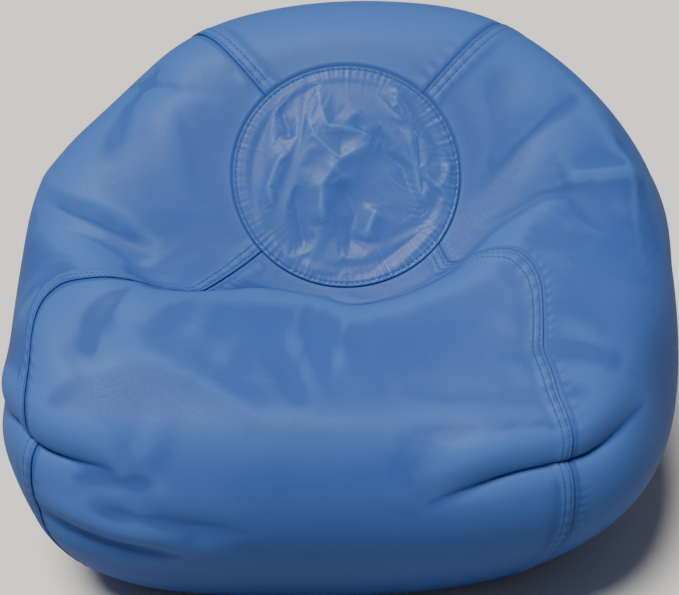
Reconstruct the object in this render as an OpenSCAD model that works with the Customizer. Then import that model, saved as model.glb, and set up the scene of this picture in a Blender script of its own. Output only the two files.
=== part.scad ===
// Bean bag chair: four gores and a crown sewn over a round base in two halves,
// with a locking zip, and inside it a zipped liner that holds the bead fill.
// The origin is on the floor under the middle; the sitter faces -Y.

/* [Overall size] */
// Width across the arms
bag_width = 644; // [520:1:900]
// Depth from the front of the seat to the back
bag_depth = 638; // [520:1:900]
// Height of the back above the floor
bag_height = 491; // [400:1:680]
// Diameter of the round base
base_d = 400; // [300:1:520]
// Diameter of the crown, measured flat
crown_d = 212; // [150:1:280]

/* [Cover] */
// Thickness of the coated cover fabric
cover_t = 1; // [0.6:0.1:1.6]
// Gap left between two panels along a seam
seam_gap = 0.4; // [0.2:0.1:0.8]
// Distance from a seam to the first row of topstitching
stitch_inset = 3.5; // [2:0.5:5]
// Distance between the two rows of topstitching
stitch_gauge = 6.35; // [4:0.05:8]
// Diameter of the topstitching thread
thread_d = 0.8; // [0.4:0.1:1.2]
// Clearance of the thread above the fabric
thread_clear = 0.25; // [0.05:0.05:0.4]

/* [Liner and fill] */
// Thickness of the liner fabric
liner_t = 0.5; // [0.3:0.1:1]
// How far the liner lies inside the outside of the cover
liner_inset = 7; // [5:0.5:10]
// Height of the liner's base above the floor
liner_lift = 8; // [8:0.5:12]
// How far the beads lie inside the outside of the cover
fill_inset = 12; // [9:0.5:16]
// Clearance of the beads above the liner's zip
fill_clear = 1.2; // [0.8:0.1:3]

/* [Zips] */
// Length of the cover zip's coils
zip_length = 320; // [200:1:340]
// Length of the liner zip's coils
liner_zip_length = 280; // [160:1:320]
// Width of one zip tape
tape_w = 16; // [12:0.5:20]
// Thickness of the zip tape
tape_t = 0.5; // [0.3:0.1:0.8]
// Width of one coil
coil_w = 2.5; // [2:0.1:3.5]
// Thickness of the coils
coil_t = 2; // [1.6:0.1:3]
// Gap between the two coils, which lets the slider's web pass
coil_gap = 0.8; // [0.6:0.1:1.2]
// Length of the slider
slider_l = 9.5; // [7:0.5:14]
// Thickness of the slider's plates
slider_plate = 0.9; // [0.7:0.1:1.4]
// Running clearance of the slider around the zip
slider_clear = 0.2; // [0.15:0.05:0.4]
// How far the base is raised beside a zip
zip_lift = 4.5; // [4.5:0.1:7]

/* [Hidden] */

VINYL = "#4570ac";
THREAD = "#3c639c";
TAPE = "#2f4a78";
COIL = "#3a5686";
METAL = "#b9bcc0";
LINER = "#e8e6df";
BEADS = "#fafaf7";

// The shape rule. Each flat of the soft body is [azimuth, elevation, reach from the centre],
// in the bag's own proportions, which rule_size scales to the size that is set.
rule_size = [641, 636, 489];
rule_floor = 200;
body_flats = [
    [-90, 0, 358], [-135, 0, 450], [180, 0, 328], [135, 0, 340],
    [90, 0, 320], [45, 0, 335], [0, 0, 338], [-45, 0, 450],
    [-90, -40, 300], [180, -40, 305], [90, -40, 320], [0, -40, 345], [-40, -40, 345],
    [145, 40, 285], [90, 45, 282], [35, 40, 320], [-15, 35, 360], [90, 80, 340],
    [-90, 32, 305], [-135, 30, 375], [-45, 30, 385], [180, 25, 325]];
body_softness = 9;
floor_softness = 24;
// The back that the sitter leans on, and the seat in front of it, meet in a crease
back_az = -90;
back_el = 42;
back_reach = 173;
seat_az = -90;
seat_el = 84;
seat_reach = 110;
crease_softness = 14;
// Arms: [azimuth, elevation, spread, how much they swell]
arms = [[-150, 25, 28, 0.25], [-20, 38, 32, 0.5]];
crown_at = [6, -66, 386];

// Seams from the crown to the base, anticlockwise from the front right:
// [angle round the crown, azimuth at the waist, azimuth at the base, sway, share where it sways]
seams = [[-39, -59, -47, 14, 0.155], [47, 52, 48, 0, 0.2], [135, 128, 132, 0, 0.2],
    [223, 219, 232, -14, 0.235]];
sway_span = 0.085;
sway_start = 0.12;
waist_bow = 1.3;
waist_el = -5;

scale_xyz = [bag_width / rule_size[0], bag_depth / rule_size[1], bag_height / rule_size[2]];
heart = [0, 0, rule_floor * scale_xyz[2]];
crown_r = crown_d / 2;
crown_centre = [for (i = [0:2]) crown_at[i] * scale_xyz[i]];
base_r = base_d / 2;
tiny = 0.000001;

gore_rows = 20;
gore_columns = 14;
crown_rings = 5;
liner_rows = 20;
round_columns = 40;
// The largest angle that one column of a gore covers at the base
widest_column = 8;
round_step = 360 / round_columns;
row_bulge = 250;
lip_share = 0.2;
// The last rows of a gore lie on the floor, where the stitching is flush with the fabric
rows_on_floor = 2;

function total(v) = v * [for (x = v) 1];
function unit(v) = v / norm(v);
function facing(az, el) = [cos(el) * cos(az), cos(el) * sin(az), sin(el)];
function mix(a, b, t) = a * (1 - t) + b * t;
function ease(t) = let (c = max(0, min(1, t))) c * c * (3 - 2 * c);

flat_normals = [for (f = body_flats) facing(f[0], f[1])];
back_normal = facing(back_az, back_el);
seat_normal = facing(seat_az, seat_el);
arm_normals = [for (a = arms) facing(a[0], a[1])];

// How much an arm lifts the seat in direction u
function arm_gain(u, k) =
    let (away = acos(max(-1, min(1, unit(u) * arm_normals[k]))) / arms[k][2])
    1 + arms[k][3] * exp(-away * away);

// One at the surface, less inside, and proportional to the distance from the centre
function pull(u) =
    let (flats = total([for (k = [0:len(body_flats) - 1])
            pow(max(0, u * flat_normals[k]) / body_flats[k][2], body_softness)]),
        back = max(tiny, u * back_normal) / back_reach,
        seat = max(tiny, u * seat_normal) / seat_reach / arm_gain(u, 0) / arm_gain(u, 1),
        lap = pow(pow(back, -crease_softness) + pow(seat, -crease_softness), -1 / crease_softness),
        above = pow(flats + pow(lap, body_softness), 1 / body_softness),
        below = max(tiny, -u[2]) / rule_floor)
    pow(pow(above, floor_softness) + pow(below, floor_softness), 1 / floor_softness);

// Distance from the centre to the outside of the bag in direction d
function reach(d) = 1 / pull([for (i = [0:2]) d[i] / scale_xyz[i]]);

// Directions through the crown: r is the share of its radius, a the angle round it
across = unit(cross([0, 0, 1], back_normal));
upward = cross(back_normal, across);
function crown_way(r, a) =
    unit(crown_centre - heart + crown_r * r * (cos(a) * across + sin(a) * upward));

// Column k + t lies a share t of the way from seam k to the next seam
function seam_angle(v, j) =
    let (k = floor(v), turn = floor(k / 4) * 360, t = v - k,
        next = (k + 1) % 4 == 0 ? seams[0][j] + 360 : seams[(k + 1) % 4][j])
    mix(seams[k % 4][j], next, t) + turn;

// The front seams sway outwards where they pass over the arms
function seam_sway(s, k) =
    let (away = (s - seams[k % 4][4]) / sway_span)
    seams[k % 4][3] * exp(-away * away) * min(1, s / sway_start);
function sway(s, v) = let (k = floor(v)) mix(seam_sway(s, k), seam_sway(s, k + 1), v - k);
function turned(p, a) = [p[0] * cos(a) - p[1] * sin(a), p[0] * sin(a) + p[1] * cos(a), p[2]];

// Direction at share s of the way from the crown to the base ring [radius, height]
function gore_way(s, v, ring) =
    let (from = crown_way(1, seam_angle(v, 0)),
        by = waist_bow * facing(seam_angle(v, 1), waist_el),
        b = seam_angle(v, 2),
        to = unit([ring[0] * cos(b), ring[0] * sin(b), ring[1] - heart[2]]))
    turned(unit((1 - s) * (1 - s) * from + 2 * s * (1 - s) * by + s * s * to), sway(s, v));

// A point on the bag at a depth inside its outside, brought to the ring at the base
function gore_point(s, v, depth, ring) =
    let (d = gore_way(s, v, ring),
        last = gore_way(1, v, ring),
        b = seam_angle(v, 2),
        goal = [ring[0] * cos(b), ring[0] * sin(b), ring[1]],
        miss = goal - heart - last * (reach(last) - depth))
    heart + d * (reach(d) - depth) + miss * ease((s - 1 + lip_share) / lip_share);

function crown_point(r, a, depth) =
    let (d = crown_way(r, a)) heart + d * (reach(d) - depth);

// About how wide a gore is at share s, for sizes that are set across a seam
function row_width(s) =
    90 / 180 * PI * (crown_r * (1 - s) + base_r * s) + row_bulge * sin(180 * s);

// Gores are 0 right, 1 back, 2 left, 3 front. Each laps over the next one anticlockwise, and
// carries that seam's stitching, so it has columns of points under the two rows.
stitch_rows = [stitch_inset, stitch_inset + stitch_gauge];
lap_marks = [stitch_rows[1], stitch_rows[0], seam_gap / 2];

function columns(k, s) =
    let (w = row_width(s))
    concat([k + seam_gap / 2 / w],
        [for (j = [1:gore_columns - 1]) k + j / gore_columns],
        [for (m = lap_marks) k + 1 - m / w]);

cover_ring_r = (base_r + seam_gap) / cos(widest_column / 2);

function gore_grid(k, depth) = [for (i = [0:gore_rows])
    for (v = columns(k, i / gore_rows)) gore_point(i / gore_rows, v, depth, [cover_ring_r, depth])];

// The whole body in rows, for the liner and the fill
function body_grid(rows, depth, ring) = [for (i = [0:rows])
    for (j = [0:round_columns - 1]) gore_point(i / rows, 4 * j / round_columns, depth, ring)];

function low(points, i) = min([for (p = points) p[i]]);
function high(points, i) = max([for (p = points) p[i]]);
cover_points = [for (k = [0:3]) each gore_grid(k, 0)];
middle = [(low(cover_points, 0) + high(cover_points, 0)) / 2,
    (low(cover_points, 1) + high(cover_points, 1)) / 2, 0];

module in_frame() {
    translate(-middle) children();
}

// Two triangles for the four corners a b c d, clockwise from outside
function quad(a, b, c, d) = [[a, b, c], [a, c, d]];

// Faces of a sheet with a thickness: the outer grid's points first, then the inner grid's
function sheet_faces(rows, cols) =
    let (n = (rows + 1) * (cols + 1), w = cols + 1)
    concat(
        [for (i = [0:rows - 1]) for (j = [0:cols - 1]) let (a = i * w + j)
            each quad(a, a + 1, a + w + 1, a + w)],
        [for (i = [0:rows - 1]) for (j = [0:cols - 1]) let (a = n + i * w + j)
            each quad(a, a + w, a + w + 1, a + 1)],
        [for (j = [0:cols - 1]) each quad(j + 1, j, n + j, n + j + 1)],
        [for (j = [0:cols - 1]) let (a = rows * w + j) each quad(a, a + 1, n + a + 1, n + a)],
        [for (i = [0:rows - 1]) let (a = i * w) each quad(a, a + w, n + a + w, n + a)],
        [for (i = [0:rows - 1]) let (a = i * w + cols) each quad(a + w, a, n + a, n + a + w)]);

// Rows of cols points that close round; base is the first point's number, out is false inside
function round_faces(base, rows, cols, out) =
    [for (i = [0:rows - 1]) for (j = [0:cols - 1])
        let (a = base + i * cols + j, b = base + i * cols + (j + 1) % cols)
        each (out ? quad(a, b, b + cols, a + cols) : quad(a, a + cols, b + cols, b))];

// The rim that joins an outer and an inner row of cols points
function rim_faces(outer, inner, cols, top) =
    [for (j = [0:cols - 1]) let (k = (j + 1) % cols)
        each (top ? quad(outer + k, outer + j, inner + j, inner + k)
            : quad(outer + j, outer + k, inner + k, inner + j))];

module gore(k) {
    points = concat(gore_grid(k, 0), gore_grid(k, cover_t));
    polyhedron(points, sheet_faces(gore_rows, len(columns(k, 0)) - 1), convexity = 6);
}

// A round cap: a pole and rings, the outer side first
module cap(radii, depth, thick) {
    n = len(radii);
    count = 1 + n * round_columns;
    side = function (deep) concat([crown_point(0, 0, deep)],
        [for (r = radii) for (j = [0:round_columns - 1])
            crown_point(r, seam_angle(4 * j / round_columns, 0), deep)]);
    polyhedron(concat(side(depth), side(depth + thick)), concat(
        [for (j = [0:round_columns - 1]) [0, 1 + (j + 1) % round_columns, 1 + j]],
        round_faces(1, n - 1, round_columns, true),
        [for (j = [0:round_columns - 1]) [count, count + 1 + j, count + 1 + (j + 1) % round_columns]],
        round_faces(count + 1, n - 1, round_columns, false),
        rim_faces(1 + (n - 1) * round_columns, count + 1 + (n - 1) * round_columns, round_columns, false)),
        convexity = 6);
}

// A thread through the points of way, each with its own outward direction
module thread(way, closed = false) {
    sides = 6;
    n = len(way);
    ring = function (i)
        let (before = closed ? (i + n - 1) % n : max(0, i - 1),
            after = closed ? (i + 1) % n : min(n - 1, i + 1),
            out = way[i][1],
            side = unit(cross(way[after][0] - way[before][0], out)))
        [for (k = [0:sides - 1])
            way[i][0] + thread_d / 2 * (cos(k * 360 / sides) * out + sin(k * 360 / sides) * side)];
    spans = closed ? n - 1 : n - 2;
    polyhedron([for (i = [0:n - 1]) each ring(i)], concat(
        [for (i = [0:spans]) for (k = [0:sides - 1])
            let (a = i * sides + k, b = i * sides + (k + 1) % sides, up = ((i + 1) % n) * sides)
            each quad(a, up + k, up + (k + 1) % sides, b)],
        closed ? [] : [[for (k = [0:sides - 1]) k],
            [for (k = [sides - 1:-1:0]) (n - 1) * sides + k]]), convexity = 6);
}

thread_rise = -(thread_d / 2 + thread_clear);

// Seams are 0 front right, 1 back right, 2 back left, 3 front left
module seam_thread(k) {
    for (m = stitch_rows)
        thread([for (i = [0:gore_rows - rows_on_floor])
            let (s = i / gore_rows, v = 4 + k - m / row_width(s))
            [gore_point(s, v, thread_rise, [cover_ring_r, 0]), gore_way(s, v, [cover_ring_r, 0])]]);
}

module crown_panel() {
    rim = 1 - seam_gap / crown_r;
    row = 1 - (seam_gap + stitch_inset) / crown_r;
    color(VINYL) in_frame()
        cap(concat([for (i = [1:crown_rings]) row * i / crown_rings], [rim]), 0, cover_t);
}

module front_panel() { color(VINYL) in_frame() gore(3); }
module left_panel() { color(VINYL) in_frame() gore(2); }
module right_panel() { color(VINYL) in_frame() gore(0); }
module back_panel() { color(VINYL) in_frame() gore(1); }

module crown_topstitch() {
    row = 1 - (seam_gap + stitch_inset) / crown_r;
    color(THREAD) in_frame()
        thread([for (j = [0:round_columns - 1]) let (a = seam_angle(4 * j / round_columns, 0))
            [crown_point(row, a, thread_rise), crown_way(row, a)]], closed = true);
}

module front_left_topstitch() { color(THREAD) in_frame() seam_thread(3); }
module front_right_topstitch() { color(THREAD) in_frame() seam_thread(0); }
module back_left_topstitch() { color(THREAD) in_frame() seam_thread(2); }
module back_right_topstitch() { color(THREAD) in_frame() seam_thread(1); }

// Zips. Each runs along X; level is the underside of its tape, and side is -1 front or 1 rear.
cover_zip_level = zip_lift + cover_t;
liner_zip_level = liner_lift + zip_lift + liner_t;
slider_half_w = coil_gap / 2 + coil_w + slider_clear + slider_plate;
tape_edge = coil_gap / 2 + slider_clear + 0.3;
fold_edge = slider_half_w + 2;
stop_l = 4;
tape_tail = 8;
groove_flat = tape_edge + tape_w;
groove_foot = groove_flat + 12;

// Half of a round base, raised along its zip, with the slot that the zip is sewn behind
module base_half(side, r, thick, slot_l) {
    intersection() {
        cylinder(r = r, h = zip_lift + thick + 1, $fn = 96);
        difference() {
            rotate([90, 0, 90]) linear_extrude(2 * r + 2, center = true)
                polygon([[side * seam_gap / 2, zip_lift], [side * groove_flat, zip_lift],
                    [side * groove_foot, 0], [side * (r + 1), 0], [side * (r + 1), thick],
                    [side * groove_foot, thick], [side * groove_flat, zip_lift + thick],
                    [side * seam_gap / 2, zip_lift + thick]]);
            cube([slot_l, 2 * fold_edge, 4 * (zip_lift + thick)], center = true);
        }
    }
}

module zip_tape(side, level, length) {
    translate([-length / 2 - stop_l - tape_tail, side > 0 ? tape_edge : -tape_edge - tape_w, level])
        cube([length + 2 * (stop_l + tape_tail), tape_w, tape_t]);
}

// The coil's outside, with its two outer corners rounded
module zip_coil(side, level, length) {
    corner = coil_t / 4;
    translate([0, side * (coil_gap + coil_w) / 2, level - coil_t])
        rotate([90, 0, 90]) linear_extrude(length, center = true) union() {
            translate([-coil_w / 2, corner]) square([coil_w, coil_t - corner]);
            translate([-coil_w / 2 + corner, 0]) square([coil_w - 2 * corner, 2 * corner]);
            for (x = [-1, 1]) translate([x * (coil_w / 2 - corner), corner]) circle(corner, $fn = 24);
        }
}

// Two stops at the closed end, one on each tape
module zip_top_stop(level, length) {
    for (side = [-1, 1])
        translate([length / 2, side > 0 ? tape_edge : -tape_edge - coil_w, level - coil_t])
            cube([stop_l, coil_w, coil_t]);
}

// One stop across both tapes at the open end
module zip_bottom_stop(level, length) {
    translate([-length / 2 - stop_l, -tape_edge - coil_w, level - coil_t])
        cube([stop_l, 2 * (tape_edge + coil_w), coil_t]);
}

// Two plates joined by a thin web, with flanges that stand close below the tapes
module zip_slider(level, length) {
    under = level - coil_t - slider_clear;
    over = level + tape_t + slider_clear;
    width = 2 * slider_half_w;
    web_w = coil_gap - 2 * slider_clear;
    web_l = slider_l / 3;
    plate = function (grow) 1.4 + grow;
    translate([length / 2 - slider_l, -slider_half_w, 0]) {
        for (z = [under - slider_plate, over]) translate([0, 0, z])
            linear_extrude(slider_plate) hull() {
                for (x = [plate(0), slider_l - plate(0)]) for (y = [plate(0), width - plate(0)])
                    translate([x, y]) circle(plate(0), $fn = 24);
            }
        for (y = [0, width - slider_plate]) translate([plate(0), y, under])
            cube([slider_l - 2 * plate(0), slider_plate, level - slider_clear - under]);
        translate([slider_l - web_l - plate(0), slider_half_w - web_w / 2, under])
            cube([web_l, web_w, over - under]);
    }
}

liner_r = base_r - liner_inset - 3;
cover_slot_l = zip_length + 2 * (stop_l + 2);
liner_slot_l = liner_zip_length + 2 * (stop_l + 2);

module base_panel_front() { color(VINYL) in_frame() base_half(-1, base_r, cover_t, cover_slot_l); }
module base_panel_rear() { color(VINYL) in_frame() base_half(1, base_r, cover_t, cover_slot_l); }
module cover_zip_tape_front() { color(TAPE) in_frame() zip_tape(-1, cover_zip_level, zip_length); }
module cover_zip_tape_rear() { color(TAPE) in_frame() zip_tape(1, cover_zip_level, zip_length); }
module cover_zip_coil_front() { color(COIL) in_frame() zip_coil(-1, cover_zip_level, zip_length); }
module cover_zip_coil_rear() { color(COIL) in_frame() zip_coil(1, cover_zip_level, zip_length); }
module cover_zip_top_stop() { color(METAL) in_frame() zip_top_stop(cover_zip_level, zip_length); }
module cover_zip_bottom_stop() { color(METAL) in_frame() zip_bottom_stop(cover_zip_level, zip_length); }
module cover_zip_slider() { color(METAL) in_frame() zip_slider(cover_zip_level, zip_length); }

module liner_wall() {
    step = round_step;
    ring_r = (liner_r + seam_gap) / cos(step / 2);
    count = (liner_rows + 1) * round_columns;
    last = liner_rows * round_columns;
    color(LINER) in_frame()
        polyhedron(concat(body_grid(liner_rows, liner_inset, [ring_r, liner_lift]),
            body_grid(liner_rows, liner_inset + liner_t, [ring_r, liner_lift + liner_t])),
            concat(round_faces(0, liner_rows, round_columns, true),
                round_faces(count, liner_rows, round_columns, false),
                rim_faces(0, count, round_columns, true),
                rim_faces(last, count + last, round_columns, false)), convexity = 6);
}

module liner_crown() {
    color(LINER) in_frame()
        cap([for (i = [1:3]) (1 - seam_gap / crown_r) * i / 3], liner_inset, liner_t);
}

module liner_base_front() {
    color(LINER) in_frame() translate([0, 0, liner_lift]) base_half(-1, liner_r, liner_t, liner_slot_l);
}
module liner_base_rear() {
    color(LINER) in_frame() translate([0, 0, liner_lift]) base_half(1, liner_r, liner_t, liner_slot_l);
}
module liner_zip_tape_front() { color(TAPE) in_frame() zip_tape(-1, liner_zip_level, liner_zip_length); }
module liner_zip_tape_rear() { color(TAPE) in_frame() zip_tape(1, liner_zip_level, liner_zip_length); }
module liner_zip_coil_front() { color(COIL) in_frame() zip_coil(-1, liner_zip_level, liner_zip_length); }
module liner_zip_coil_rear() { color(COIL) in_frame() zip_coil(1, liner_zip_level, liner_zip_length); }
module liner_zip_top_stop() { color(METAL) in_frame() zip_top_stop(liner_zip_level, liner_zip_length); }
module liner_zip_bottom_stop() {
    color(METAL) in_frame() zip_bottom_stop(liner_zip_level, liner_zip_length);
}
module liner_zip_slider() { color(METAL) in_frame() zip_slider(liner_zip_level, liner_zip_length); }

// The beads, flat where they lie above the liner's zip
module bead_fill() {
    floor_z = liner_zip_level + tape_t + slider_clear + slider_plate + fill_clear;
    ring = [liner_r - (fill_inset - liner_inset), floor_z];
    cap_rings = 3;
    rows = cap_rings + liner_rows;
    top = [for (i = [1:cap_rings]) for (j = [0:round_columns - 1])
        crown_point(i / (cap_rings + 1), seam_angle(4 * j / round_columns, 0), fill_inset)];
    points = concat([crown_point(0, 0, fill_inset)], top, body_grid(liner_rows, fill_inset, ring));
    last = 1 + rows * round_columns;
    color(BEADS) in_frame()
        polyhedron(points, concat(
            [for (j = [0:round_columns - 1]) [0, 1 + (j + 1) % round_columns, 1 + j]],
            round_faces(1, rows, round_columns, true),
            [[for (j = [0:round_columns - 1]) last + j]]), convexity = 6);
}

crown_panel();
front_panel();
left_panel();
right_panel();
back_panel();
base_panel_front();
base_panel_rear();
crown_topstitch();
front_left_topstitch();
front_right_topstitch();
back_left_topstitch();
back_right_topstitch();
cover_zip_tape_front();
cover_zip_tape_rear();
cover_zip_coil_front();
cover_zip_coil_rear();
cover_zip_top_stop();
cover_zip_bottom_stop();
cover_zip_slider();
liner_wall();
liner_crown();
liner_base_front();
liner_base_rear();
liner_zip_tape_front();
liner_zip_tape_rear();
liner_zip_coil_front();
liner_zip_coil_rear();
liner_zip_top_stop();
liner_zip_bottom_stop();
liner_zip_slider();
bead_fill();
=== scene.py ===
"""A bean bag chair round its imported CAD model: sewn vinyl cover, stitching, zips and filling."""

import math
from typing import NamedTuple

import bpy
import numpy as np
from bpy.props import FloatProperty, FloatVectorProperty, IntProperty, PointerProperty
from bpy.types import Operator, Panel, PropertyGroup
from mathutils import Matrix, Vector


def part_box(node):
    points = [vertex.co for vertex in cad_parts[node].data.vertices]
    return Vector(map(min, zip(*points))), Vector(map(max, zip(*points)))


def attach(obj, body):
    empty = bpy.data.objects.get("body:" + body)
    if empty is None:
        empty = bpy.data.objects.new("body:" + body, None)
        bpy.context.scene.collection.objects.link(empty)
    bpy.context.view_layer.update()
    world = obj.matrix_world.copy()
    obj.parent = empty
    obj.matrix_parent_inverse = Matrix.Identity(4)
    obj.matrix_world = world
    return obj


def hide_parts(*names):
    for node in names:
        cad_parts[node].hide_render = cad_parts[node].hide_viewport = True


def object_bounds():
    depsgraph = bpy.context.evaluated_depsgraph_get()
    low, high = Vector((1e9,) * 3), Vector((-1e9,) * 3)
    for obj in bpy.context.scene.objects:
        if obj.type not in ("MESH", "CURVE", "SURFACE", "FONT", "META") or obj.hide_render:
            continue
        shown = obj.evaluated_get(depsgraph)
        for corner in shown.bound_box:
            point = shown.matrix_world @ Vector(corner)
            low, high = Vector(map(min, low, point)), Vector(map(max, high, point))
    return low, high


bl_info = {
    "name": "Bean Bag Chair",
    "version": (1, 0, 0),
    "blender": (4, 5, 0),
    "location": "View3D > Sidebar > Bean Bag",
    "description": "Sews a bean bag chair of coated fabric, with its folds, zips, liner and fill",
    "category": "Add Mesh",
}

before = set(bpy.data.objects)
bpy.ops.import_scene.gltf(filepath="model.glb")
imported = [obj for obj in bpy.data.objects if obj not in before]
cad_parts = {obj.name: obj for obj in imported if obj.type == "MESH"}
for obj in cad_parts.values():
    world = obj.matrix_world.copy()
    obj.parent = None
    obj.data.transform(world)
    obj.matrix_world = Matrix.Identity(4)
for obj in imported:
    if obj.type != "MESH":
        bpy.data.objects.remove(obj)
CAD_LOW, CAD_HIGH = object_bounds()
MM = 0.001

# ---- The shape rule of the bag, as the CAD model has it, in the bag's own proportions

RULE_SIZE = np.array([641.0, 636.0, 489.0]) * MM
RULE_FLOOR = 200.0 * MM
# Each flat of the soft body: azimuth, elevation, reach from the heart in mm
BODY_FLATS = (
    (-90, 0, 358), (-135, 0, 450), (180, 0, 328), (135, 0, 340),
    (90, 0, 320), (45, 0, 335), (0, 0, 338), (-45, 0, 450),
    (-90, -40, 300), (180, -40, 305), (90, -40, 320), (0, -40, 345), (-40, -40, 345),
    (145, 40, 285), (90, 45, 282), (35, 40, 320), (-15, 35, 360), (90, 80, 340),
    (-90, 32, 305), (-135, 30, 375), (-45, 30, 385), (180, 25, 325),
)
BODY_SOFTNESS = 9
FLOOR_SOFTNESS = 24
BACK = (-90, 42, 173)
SEAT = (-90, 84, 110)
CREASE_SOFTNESS = 14
# Arms: azimuth, elevation, spread in degrees, swell
ARMS = ((-150, 25, 28, 0.25), (-20, 38, 32, 0.5))
CROWN_AT = np.array([6.0, -66.0, 386.0]) * MM
# Seams, anticlockwise from the front right: angle round the crown, azimuth at the waist and base
SEAMS = np.array([[-39, -59, -47], [47, 52, 48], [135, 128, 132], [223, 219, 232]], float)
# How far the front seams sway outwards over the arms: degrees, the share of the way
# down where that is over, how slowly it dies away, where it starts and how fast
SWAYS = ((14, 0.08, 0.14, 0.05, 0.045), (0, 0.2, 0.1, 0, 1), (0, 0.2, 0.1, 0, 1),
         (-17, 0.2, 0.11, 0.15, 0.055))
SEAM_NAMES = ("front_right", "back_right", "back_left", "front_left")
GORE_NAMES = ("right_panel", "back_panel", "left_panel", "front_panel")
WAIST_BOW = 1.3
WAIST_EL = -5
LIP_SHARE = 0.2


def facing(az, el):
    """Unit vectors for azimuths and elevations in degrees."""
    az, el = np.radians(az), np.radians(el)
    return np.stack([np.cos(el) * np.cos(az), np.cos(el) * np.sin(az), np.sin(el) + 0 * az], -1)


def unit(v):
    return v / np.maximum(np.linalg.norm(v, axis=-1, keepdims=True), 1e-12)


def ease(t):
    t = np.clip(t, 0, 1)
    return t * t * (3 - 2 * t)


def base_disc():
    """The middle and the radius of the round base, from the two halves of the frame."""
    low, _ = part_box("base_panel_front")
    _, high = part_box("base_panel_rear")
    middle = np.array([(low.x + high.x) / 2, (low.y + high.y) / 2, 0.0])
    return middle, (high.x - low.x) / 2


MIDDLE, BASE_R = base_disc()
STRETCH = (np.array(CAD_HIGH) - np.array(CAD_LOW)) / RULE_SIZE
HEART = MIDDLE + np.array([0, 0, RULE_FLOOR * STRETCH[2]])
CROWN_R = 106 * MM
CROWN_CENTRE = CROWN_AT * STRETCH + MIDDLE
FLAT_NORMALS = facing(*np.array(BODY_FLATS, float).T[:2])
FLAT_REACH = np.array([f[2] for f in BODY_FLATS]) * MM
BACK_NORMAL = facing(*BACK[:2])
SEAT_NORMAL = facing(*SEAT[:2])
ACROSS = unit(np.cross([0, 0, 1.0], BACK_NORMAL))
UPWARD = np.cross(BACK_NORMAL, ACROSS)


def reach(d):
    """How far the bag reaches from its heart in the directions d, with no folds yet."""
    u = d / STRETCH
    flats = (np.maximum(0, u @ FLAT_NORMALS.T) / FLAT_REACH) ** BODY_SOFTNESS
    back = np.maximum(1e-6, u @ BACK_NORMAL) / (BACK[2] * MM)
    seat = np.maximum(1e-6, u @ SEAT_NORMAL) / (SEAT[2] * MM)
    for az, el, spread, swell in ARMS:
        away = np.degrees(np.arccos(np.clip(unit(u) @ facing(az, el), -1, 1))) / spread
        seat = seat / (1 + swell * np.exp(-away**2))
    lap = (back**-CREASE_SOFTNESS + seat**-CREASE_SOFTNESS) ** (-1 / CREASE_SOFTNESS)
    above = (flats.sum(-1) + lap**BODY_SOFTNESS) ** (1 / BODY_SOFTNESS)
    below = np.maximum(1e-6, -u[..., 2]) / RULE_FLOOR
    return (above**FLOOR_SOFTNESS + below**FLOOR_SOFTNESS) ** (-1 / FLOOR_SOFTNESS)


def seam_angles(v):
    """The three angles of the line at place v round the bag, where whole numbers are seams."""
    k = np.floor(v).astype(int)
    t = (v - k)[..., None]
    after = np.vstack([SEAMS[1:], SEAMS[:1] + 360])
    return SEAMS[k % 4] * (1 - t) + after[k % 4] * t + 360 * (k // 4)[..., None]


def crown_way(r, a):
    """Directions through the crown: r is the share of its radius, a the angle round it."""
    a = np.radians(a)[..., None]
    ring = np.cos(a) * ACROSS + np.sin(a) * UPWARD
    return unit(CROWN_CENTRE - HEART + CROWN_R * np.asarray(r)[..., None] * ring)


def sway(s, v):
    """The angle in degrees that the line at place v is turned by at share s."""
    k = np.floor(v).astype(int)
    by_seam = [amount * np.exp(-((np.maximum(0, s - at) / span) ** 2)) * ease((s - start) / rise)
               for amount, at, span, start, rise in SWAYS]
    return np.choose(k % 4, by_seam) * (1 - v + k) + np.choose((k + 1) % 4, by_seam) * (v - k)


def gore_way(s, v):
    """Directions from the crown, s = 0, to the base, s = 1."""
    s, v = np.broadcast_arrays(s, v)
    turn = np.radians(sway(s, v))
    angles = seam_angles(v)
    start = crown_way(np.ones_like(v), angles[..., 0])
    bow = WAIST_BOW * facing(angles[..., 1], WAIST_EL)
    b = np.radians(angles[..., 2])
    drop = np.full_like(b, -HEART[2] / BASE_R)
    end = unit(np.stack([np.cos(b), np.sin(b), drop], -1))
    s = s[..., None]
    d = unit((1 - s) ** 2 * start + 2 * s * (1 - s) * bow + s**2 * end)
    x, y = d[..., 0], d[..., 1]
    c, n = np.cos(turn), np.sin(turn)
    return np.stack([x * c - y * n, x * n + y * c, d[..., 2]], -1)


# ---- Folds, each through (azimuth, elevation) points seen from the heart of the bag

class Fold(NamedTuple):
    """A valley through points, and the swell to its left and right as one goes along it, in mm.

    soft is the power of the valley's section, spread how wide the swell is, and lean how far the
    side that stands up hangs over the valley, to the left or, below 0, to the right."""

    path: tuple
    width: float
    depth: float
    left: float = 0
    right: float = 0
    soft: float = 1.15
    spread: float = 0
    lean: float = 0


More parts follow.
